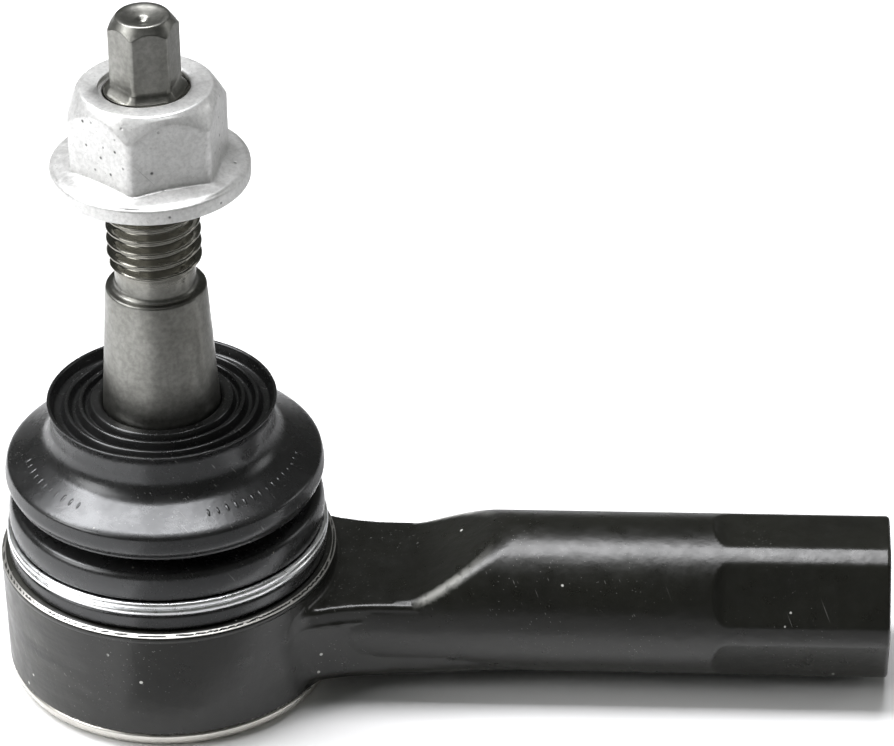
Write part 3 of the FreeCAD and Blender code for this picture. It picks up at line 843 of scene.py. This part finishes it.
# three lips inside the mouth: radius, and how far below the mouth
sealing_lips = [
    (12.3, 0.45), (11.85, 0.45), (11.45, 1.5), (10.85, 1.5), (10.5, 0.25), (10.05, 0.25),
    (9.75, 1.1), (9.35, 1.1), (9.0, 0.05), (7.9, 0.02), (cone_radius(mouth_height) + 0.06, 0.5),
]
upper_outside += [(radius, mouth_height - depth) for radius, depth in sealing_lips]
upper_inside = [
    (cone_radius(collar_foot) + 0.2, collar_foot + 0.6), (collar_radius - boot_wall, collar_foot - 0.6),
    (fold_radius - boot_wall - 0.8, crease_height + 4.1), (fold_radius - boot_wall, crease_height + 2.9),
    (fold_radius - boot_wall - 0.7, crease_height + 2.2), (split_inside, split_height),
]
upper_rounds = [0.7, 0.9, 0.7, 0.7, 2.0, 1.3, 0.6, 0.2, 0.15, 0.3, 0.3] + [0.25] * 9 + [0.3]
upper_path = eased(upper_outside, upper_rounds) + eased(upper_inside, [0.5, 0.8, 0.8, 0.5])
boot_upper = turned_piece("dust_boot_upper_fold", upper_path, boot_round)


def boot_rubber(name):
    """Black rubber with a satin skin: dusty bloom in patches, fine scuffs and mould grain."""
    rubber = Finish(name, Specular_IOR_Level=0.7, Specular_Tint=(0.97, 0.985, 1.0, 1))
    bloom = rubber.spread(rubber.noise(95, 5, 0.65), 0.42, 0.75)
    tone = rubber.colour(bloom, (0.0065, 0.0065, 0.0065), (0.017, 0.017, 0.017))
    dusty = rubber.spread(rubber.noise(130, 1, seed=4.0), 0.56, 0.63)
    dust = rubber.math("MULTIPLY", rubber.flecks(500, 0.05, 0.085, dusty), 0.7)
    tone = rubber.colour(dust, tone, (0.30, 0.29, 0.26))
    one_way, other_way = rubber.scratches((0.3, 0.2, 0.9)), rubber.scratches((0.8, -0.4, 2.4), 0.0014)
    scuff = rubber.math("MAXIMUM", one_way, other_way)
    scuff = rubber.math("MAXIMUM", scuff, rubber.scratches((0.1, 1.0, 0.3), 0.003, 0.00008))
    scuff = rubber.math("MULTIPLY", scuff, rubber.spread(rubber.noise(80, 1, seed=8.0), 0.42, 0.6))
    tone = rubber.colour(scuff, tone, (0.16, 0.16, 0.155))
    rubber.feed("Base Color", tone)
    rubber.feed("Roughness", rubber.spread(rubber.noise(300, 4, 0.6, seed=2.0), 0.3, 0.7, 0.22, 0.34))
    rubber.bump(rubber.noise(900, 3, 0.6, seed=3.0), 0.00002)
    rubber.bump(rubber.noise(110, 3, 0.5, seed=6.0), 0.00008)
    return rubber.material


rubber = boot_rubber("satin_boot_rubber")
for part in (boot_lower, boot_upper):
    part.data.materials.append(rubber)
    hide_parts("dust_boot")
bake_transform(boot_lower)
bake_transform(boot_upper)
finish_node("boot_top_ring", cut_steel("collar_ring_steel", (0.30, 0.29, 0.27), 0.35, (1, 1, 8)))

# ---- Mould marks on the boot ---------------------------------------------------------------------
# Two rows of small raised bars on the boot's sloping shoulder, left by inserts in the mould.
# They stand where such boots carry moulded data; the bars here are plain.
band_radius = 17.5
band_height = collar_foot - 1.72
band_slope = math.radians(31)
mark_step = math.radians(4.2)


def node_group(name, inputs):
    """An empty geometry node tree with named inputs and one geometry output."""
    group = bpy.data.node_groups.new(name, "GeometryNodeTree")
    sockets = {}
    group.interface.new_socket("Geometry", in_out="INPUT", socket_type="NodeSocketGeometry")
    for label, kind in inputs:
        kind = "NodeSocket" + kind
        sockets[label] = group.interface.new_socket(label, in_out="INPUT", socket_type=kind)
    group.interface.new_socket("Geometry", in_out="OUTPUT", socket_type="NodeSocketGeometry")
    return group, group.nodes.new("NodeGroupInput"), group.nodes.new("NodeGroupOutput"), sockets


def add(group, kind, links=(), **settings):
    """One node, with its settings and the outputs or numbers that go into it."""
    made = group.nodes.new(kind)
    for key, value in settings.items():
        setattr(made, key, value)
    for socket, value in dict(links).items():
        if isinstance(value, bpy.types.NodeSocket):
            group.links.new(value, made.inputs[socket])
        else:
            made.inputs[socket].default_value = value
    return made


def reckon(group, operation, a, b=0.0):
    """One sum, product or the like of two outputs or numbers."""
    return add(group, "ShaderNodeMath", {0: a, 1: b}, operation=operation).outputs[0]


def spot_round(group, angle, radius, height):
    """A place at an angle from -Y towards +X, a radius from Z and a height."""
    across = reckon(group, "MULTIPLY", reckon(group, "SINE", angle), radius)
    ahead = reckon(group, "MULTIPLY", reckon(group, "COSINE", angle), radius)
    behind = reckon(group, "MULTIPLY", ahead, -1.0)
    return add(group, "ShaderNodeCombineXYZ", {"X": across, "Y": behind, "Z": height}).outputs[0]


def end_tree(group, geometry, material, tree_out):
    """Turns instances into real copies, gives them their material and ends the tree."""
    real = add(group, "GeometryNodeRealizeInstances", {"Geometry": geometry}).outputs[0]
    dressed = add(group, "GeometryNodeSetMaterial", {"Geometry": real, "Material": material})
    group.links.new(dressed.outputs[0], tree_out.inputs[0])


def grown(name, group, sockets, values, material):
    """Runs a node tree with its inputs set and returns the result as a plain mesh object."""
    holder = put_in_scene(name + "_seed", bpy.data.meshes.new(name + "_seed"))
    modifier = holder.modifiers.new("grow", "NODES")
    modifier.node_group = group
    for label, value in values.items():
        modifier[sockets[label].identifier] = value
    bpy.context.view_layer.update()
    shaped = holder.evaluated_get(bpy.context.evaluated_depsgraph_get())
    mesh = bpy.data.meshes.new_from_object(shaped)
    mesh.name = name
    bpy.data.objects.remove(holder)
    mesh.materials.clear()
    mesh.materials.append(material)
    mesh.shade_smooth()
    return put_in_scene(name, mesh)


marks, marks_in, marks_out, mark_sockets = node_group("mould_marks", [
    ("Count", "Int"), ("First Angle", "Float"), ("Step Angle", "Float"), ("Radius", "Float"),
    ("Height", "Float"), ("Slope", "Float"), ("Bar Width", "Float"), ("Bar Length", "Float"),
    ("Bar Relief", "Float"), ("Seed", "Int"), ("Material", "Material"),
])
given = marks_in.outputs
index = add(marks, "GeometryNodeInputIndex").outputs[0]
swept = reckon(marks, "MULTIPLY", index, given["Step Angle"])
turn = reckon(marks, "ADD", given["First Angle"], swept)
spot = spot_round(marks, turn, given["Radius"], given["Height"])
points = add(marks, "GeometryNodePoints", {"Count": given["Count"], "Position": spot}).outputs[0]
bar = add(marks, "GeometryNodeMeshUVSphere", {"Segments": 10, "Rings": 6, "Radius": 1.0}).outputs[0]
lean = add(marks, "ShaderNodeCombineXYZ", {"X": given["Slope"], "Y": 0.0, "Z": turn}).outputs[0]
least, most = 0.75, 1.1
varied = add(marks, "FunctionNodeRandomValue", {
    2: least, 3: most, "Seed": given["Seed"]}, data_type="FLOAT").outputs[1]
bar_width = reckon(marks, "MULTIPLY", varied, given["Bar Width"])
bar_length = reckon(marks, "MULTIPLY", varied, given["Bar Length"])
size = add(marks, "ShaderNodeCombineXYZ", {
    "X": bar_width, "Y": bar_length, "Z": given["Bar Relief"]}).outputs[0]
placed = add(marks, "GeometryNodeInstanceOnPoints", {
    "Points": points, "Instance": bar, "Rotation": lean, "Scale": size}).outputs[0]
end_tree(marks, placed, given["Material"], marks_out)

# for each row: bars, degrees from -Y to the first, seed
mark_rows = {"boot_mould_bars_left": (11, -74, 4), "boot_mould_bars_right": (15, 24, 11)}
for name, (count, first, seed) in mark_rows.items():
    bars = grown(name, marks, mark_sockets, {
        "Count": count, "First Angle": math.radians(first), "Step Angle": mark_step,
        "Bar Width": 0.34 * MM, "Bar Length": 0.85 * MM, "Bar Relief": 0.20 * MM,
        "Radius": band_radius * MM, "Height": band_height * MM, "Slope": band_slope, "Seed": seed,
        "Material": rubber}, rubber)
    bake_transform(bars)

# ---- Clamp ring ----------------------------------------------------------------------------------
# Two turns of bright 1 mm spring wire, sprung over the boot's bead. The turns lie flat and the
# wire steps from one to the other over a short arc, as on a split ring.
wire_radius = (clamp_top - clamp_bottom) / 4 + 0.02
coil_radius = ring_high.x - wire_radius
wire_slack = 0.985      # the wire is drawn this much thinner, so that its turns don't touch
coil_turns = 1.93
coil_start = math.radians(112)
step_at = 0.93
step_length = 0.1

coil, coil_in, coil_out, coil_sockets = node_group("wire_coil", [
    ("Radius", "Float"), ("Wire", "Float"), ("Turns", "Float"), ("Start", "Float"), ("Low", "Float"),
    ("High", "Float"), ("Step At", "Float"), ("Step Length", "Float"), ("Material", "Material"),
])
given = coil_in.outputs
wire = add(coil, "GeometryNodeCurvePrimitiveLine", {"Start": (0, 0, 0), "End": (1, 0, 0)}).outputs[0]
wire = add(coil, "GeometryNodeResampleCurve", {"Curve": wire, "Count": 420}).outputs[0]
along = add(coil, "GeometryNodeSplineParameter").outputs["Factor"]
turned_by = reckon(coil, "MULTIPLY", along, given["Turns"])
angle = reckon(coil, "ADD", reckon(coil, "MULTIPLY", turned_by, ROUND), given["Start"])
step_end = reckon(coil, "ADD", given["Step At"], given["Step Length"])
rise = add(coil, "ShaderNodeMapRange", {
    "Value": turned_by, "From Min": given["Step At"], "From Max": step_end,
    "To Min": given["Low"], "To Max": given["High"]}, interpolation_type="SMOOTHSTEP").outputs[0]
spot = spot_round(coil, angle, given["Radius"], rise)
bent = add(coil, "GeometryNodeSetPosition", {"Geometry": wire, "Position": spot}).outputs[0]
section = add(coil, "GeometryNodeCurvePrimitiveCircle", {
    "Resolution": 14, "Radius": given["Wire"]}).outputs[0]
tube = add(coil, "GeometryNodeCurveToMesh", {
    "Curve": bent, "Profile Curve": section, "Fill Caps": True}).outputs[0]
end_tree(coil, tube, given["Material"], coil_out)


def bright_wire(name):
    """Drawn spring wire: bright, with drawing lines and faint handling marks."""
    wire = Finish(name, Metallic=1.0)
    handled = wire.spread(wire.noise(300, 4, 0.6), 0.35, 0.75)
    wire.feed("Base Color", wire.colour(handled, (0.93, 0.94, 0.95), (0.76, 0.77, 0.77)))
    wire.feed("Roughness", wire.spread(wire.noise(700, 3, seed=2.0), 0.3, 0.7, 0.24, 0.38))
    wire.bump(wire.noise(500, 3, place=wire.stretched((1, 1, 14)), seed=1.0), 0.000008)
    return wire.material


wire_finish = bright_wire("drawn_bright_wire")
clamp_ring = grown("clamp_ring_wire", coil, coil_sockets, {
    "Radius": coil_radius * MM, "Wire": wire_radius * MM * wire_slack,
    "Turns": coil_turns, "Start": coil_start, "Low": (clamp_bottom + wire_radius) * MM,
    "High": (clamp_top - wire_radius) * MM, "Step At": step_at, "Step Length": step_length,
    "Material": wire_finish}, wire_finish)
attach(clamp_ring, "housing")
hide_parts("boot_clamp_ring")

# ---- Flange nut ----------------------------------------------------------------------------------
# An 18 mm hexagon nut with a coned flange, forged in one and coated with pale zinc flake that
# leaves the surface matt and slightly pitted. Its steep top chamfer cuts arcs into the faces.
nut_low, nut_high = box_mm("flange_nut")
nut_bottom, nut_top = nut_low.z, nut_high.z
flange_radius = nut_high.x
flange_rim = 2.1
flange_slope = 0.23
nut_half = 8.95
nut_corner = 10.1
nut_top_radius = 8.4
nut_chamfer_height = 2.95
nut_turn = math.radians(22.8)
nut_bore = 5.45
nut_bore_flare = 0.95
nut_corner_round = 0.06
flange_fillet = 0.4
nut_thread_gap = 0.07
nut_round = 240
nut_angle = np.linspace(0, ROUND, nut_round, endpoint=False)[None, :]
hex_side = hexagon_radius(nut_angle, nut_half, nut_turn)
past_corner = np.logaddexp(0, (nut_corner - hex_side) / nut_corner_round)
softened = nut_corner - past_corner * nut_corner_round
hex_side = np.minimum(softened, hex_side)
flange_foot = nut_bottom + flange_rim + flange_slope * (flange_radius - hex_side)
chamfer_steep = nut_chamfer_height / (nut_corner - nut_top_radius)
chamfer_foot = nut_top - (hex_side - nut_top_radius) * chamfer_steep
level = 0 * nut_angle


def ring_row(radius, height):
    """A row of the nut that stays round and level."""
    return (radius + level, height + level)


nut_rows = [ring_row(nut_bore + nut_bore_flare, nut_bottom), ring_row(flange_radius - 0.45, nut_bottom)]
nut_rows += [ring_row(r, z) for r, z in arc_points((flange_radius - 0.3, nut_bottom + 0.3), 0.3, -80, 0, 5)]
rim_top = nut_bottom + flange_rim
nut_rows += [ring_row(r, z) for r, z in arc_points((flange_radius - 0.4, rim_top - 0.4), 0.4, 0, 76, 6)]
for share in (0.15, 0.4, 0.65, 0.85):
    radius = flange_radius + (hex_side + 0.45 - flange_radius) * share
    nut_rows.append((radius, rim_top + flange_slope * (flange_radius - radius)))
for share in (0, 0.3, 0.6, 0.85, 1):
    bend = math.radians(90 * share)
    radius = hex_side + flange_fillet * (1 - math.sin(bend))
    nut_rows.append((radius, flange_foot + flange_fillet * (1 - math.cos(bend)) - 0.02))
face_height = chamfer_foot - flange_foot - flange_fillet
for share in (0.1, 0.35, 0.65, 0.88):
    nut_rows.append((hex_side, flange_foot + flange_fillet + face_height * share))
edge = 0.16
nut_rows.append((hex_side, chamfer_foot - edge))
nut_rows.append((hex_side - 0.03, chamfer_foot - 0.2 * edge))
nut_rows.append((hex_side - 0.11, chamfer_foot + edge))
for share in (0.35, 0.6, 0.8):
    radius = hex_side - 0.11 + (nut_top_radius + 0.25 - hex_side) * share
    nut_rows.append((radius, nut_top - (radius - nut_top_radius) * chamfer_steep))
nut_rows += [ring_row(r, z) for r, z in arc_points((nut_top_radius - 0.45, nut_top - 0.5), 0.5, 32, 90, 7)]
for widened, height in ((0.5, nut_top - 0.02), (0.2, nut_top - 0.08), (0.05, nut_top - 0.2)):
    groove = stud_thread(height, nut_angle) + nut_thread_gap
    nut_rows.append((np.maximum(nut_bore + widened, groove), height + level))
for height in np.linspace(nut_top - 0.35, nut_bottom + 0.1, 100):
    mouth = nut_bore + max(0, nut_bore_flare - (height - nut_bottom))
    groove = stud_thread(height, nut_angle) + nut_thread_gap
    nut_rows.append((np.maximum(mouth, groove), height + level))
nut_r = np.concatenate([row[0] for row in nut_rows])
nut_z = np.concatenate([row[1] for row in nut_rows])
nut_points = points_round(nut_r, nut_z, nut_angle)
nut = piece_from("flange_nut_forged", nut_points, closed_round(nut_r.shape))


def zinc_flake(name):
    """Pale matt metal coating with a fine sandy grain, dark pin pits and a few long scratches."""
    zinc = Finish(name, Metallic=0.6, Specular_IOR_Level=0.5)
    cloud = zinc.spread(zinc.noise(230, 5, 0.65), 0.32, 0.7)
    tone = zinc.colour(cloud, (0.72, 0.72, 0.71), (0.57, 0.57, 0.56))
    sand = zinc.spread(zinc.noise(1900, 3, 0.6, seed=9.0), 0.36, 0.6, 0.84, 1.03)
    tone = zinc.node("VectorMath", {0: tone, 1: sand}, operation="MULTIPLY").outputs[0]
    pitted = zinc.spread(zinc.noise(260, 2, seed=5.0), 0.44, 0.54)
    pits = zinc.flecks(620, 0.07, 0.16, pitted)
    tone = zinc.colour(pits, tone, (0.10, 0.10, 0.10))
    one_way, other_way = zinc.scratches((0.2, 0.9, 0.4)), zinc.scratches((1.4, 0.3, 2.0), 0.0012)
    scratch = zinc.math("MAXIMUM", one_way, other_way)
    tone = zinc.colour(zinc.math("MULTIPLY", scratch, 0.7), tone, (0.25, 0.25, 0.24))
    zinc.feed("Base Color", tone)
    zinc.feed("Roughness", zinc.spread(zinc.noise(900, 4, 0.65, seed=3.0), 0.3, 0.7, 0.33, 0.5))
    zinc.bump(zinc.noise(1500, 3, 0.6, seed=1.0), 0.00002)
    zinc.bump(zinc.math("MULTIPLY", pits, -1.0), 0.00006)
    zinc.bump(zinc.noise(190, 2, 0.5, seed=7.0), 0.00008)
    return zinc.material


nut.data.materials.append(zinc_flake("pale_zinc_flake"))
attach(nut, "nut")
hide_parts("flange_nut")

# ---- Studio --------------------------------------------------------------------------------------
# A pale table, one wide soft light overhead, weaker ones from the left and the right, and the
# camera. Dark cards hold the table's white back from the black coat, as flags in a studio do.
floor_height = cad_low.z - 0.0001
floor_reach = 3.0


def flat_card(name, corners, height):
    """A level sheet with corners at (x, y), in metres."""
    mesh = bpy.data.meshes.new(name)
    mesh.from_pydata([(x, y, height) for x, y in corners], [], [tuple(range(len(corners)))])
    return put_in_scene(name, mesh)


floor_corners = [(-floor_reach, -floor_reach), (floor_reach, -floor_reach), (floor_reach, floor_reach),
                 (-floor_reach, floor_reach)]
floor = flat_card("table", floor_corners, floor_height)
table_top = Finish("pale_table", Roughness=0.9, Specular_IOR_Level=0.1)
pale = table_top.colour(table_top.noise(40, 3), (0.93, 0.93, 0.93), (0.90, 0.90, 0.90))
table_top.feed("Base Color", pale)
floor.data.materials.append(table_top.material)


def softbox(name, place, aim, width, depth, radiance, tint=(1, 1, 1)):
    """A rectangular light at a place, facing a point; radiance is how bright its face looks."""
    lamp = bpy.data.lights.new(name, "AREA")
    lamp.shape = "RECTANGLE"
    lamp.size, lamp.size_y = width, depth
    lamp.energy = radiance * math.pi * width * depth
    lamp.color = tint
    holder = put_in_scene(name, lamp)
    holder.location = place
    holder.rotation_mode = "QUATERNION"
    holder.rotation_quaternion = (Vector(aim) - Vector(place)).to_track_quat("-Z", "Y")


middle = Vector((0.036, 0.0, 0.0))
softbox("overhead", (-0.26, 0.085, 0.75), (-0.26, 0, 0), 0.92, 0.30, 14.5, (0.98, 0.98, 1.0))
softbox("left_key", (-0.60, -0.26, 0.48), middle, 0.42, 0.42, 5.5)
softbox("right_fill", (0.75, 0.25, 0.30), middle, 0.25, 0.30, 2.0)


def flag(name, corners):
    """A dark card laid on the table that only reflections see, to hold back the table's white."""
    card = flat_card(name, corners, floor_height + 0.0004)
    felt = Finish(name, Roughness=1.0, Specular_IOR_Level=0.0)
    felt.feed("Base Color", felt.colour(felt.noise(30), (0.34, 0.34, 0.34), (0.38, 0.38, 0.38)))
    card.data.materials.append(felt.material)
    card.visible_camera = card.visible_diffuse = False
    card.visible_shadow = card.visible_transmission = False


flag("front_flag", [(-0.008, -0.028), (-0.10, -0.60), (0.60, -0.60), (0.60, -0.028)])
flag("back_flag", [(0.03, 0.03), (0.5, 0.03), (0.5, 0.6), (0.06, 0.6)])

world = bpy.data.worlds.new("studio")
world.use_nodes = True
bpy.context.scene.world = world
sky = world.node_tree.nodes["Background"]
seen = world.node_tree.nodes.new("ShaderNodeLightPath").outputs["Is Camera Ray"]
bright = world.node_tree.nodes.new("ShaderNodeMapRange")
room_light, backdrop = 0.10, 0.95
bright.inputs["To Min"].default_value = room_light
bright.inputs["To Max"].default_value = backdrop
world.node_tree.links.new(seen, bright.inputs["Value"])
world.node_tree.links.new(bright.outputs["Result"], sky.inputs["Strength"])
sky.inputs["Color"].default_value = (0.98, 1.0, 0.94, 1)
bpy.context.scene.view_settings.view_transform = "Standard"

camera_azimuth, camera_elevation = math.radians(3.284), math.radians(32.212)
camera_roll = math.radians(-0.834)
camera_distance = 0.627
camera_aim = Vector((0.0361, 0.0, 0.03038))
back = Vector((math.sin(camera_azimuth) * math.cos(camera_elevation),
               -math.cos(camera_azimuth) * math.cos(camera_elevation), math.sin(camera_elevation)))
level_right = (-back).cross(Vector((0, 0, 1))).normalized()
level_up = level_right.cross(-back).normalized()
right = level_right * math.cos(camera_roll) + level_up * math.sin(camera_roll)
up = -level_right * math.sin(camera_roll) + level_up * math.cos(camera_roll)
camera = put_in_scene("camera", bpy.data.cameras.new("camera"))
camera.data.lens = 201.34
camera.data.sensor_width = 36.0
camera.data.clip_start, camera.data.clip_end = 0.05, 20.0
camera.matrix_world = Matrix.Translation(camera_aim + back * camera_distance) @ Matrix(
    (right, up, back)).transposed().to_4x4()
bpy.context.scene.camera = camera
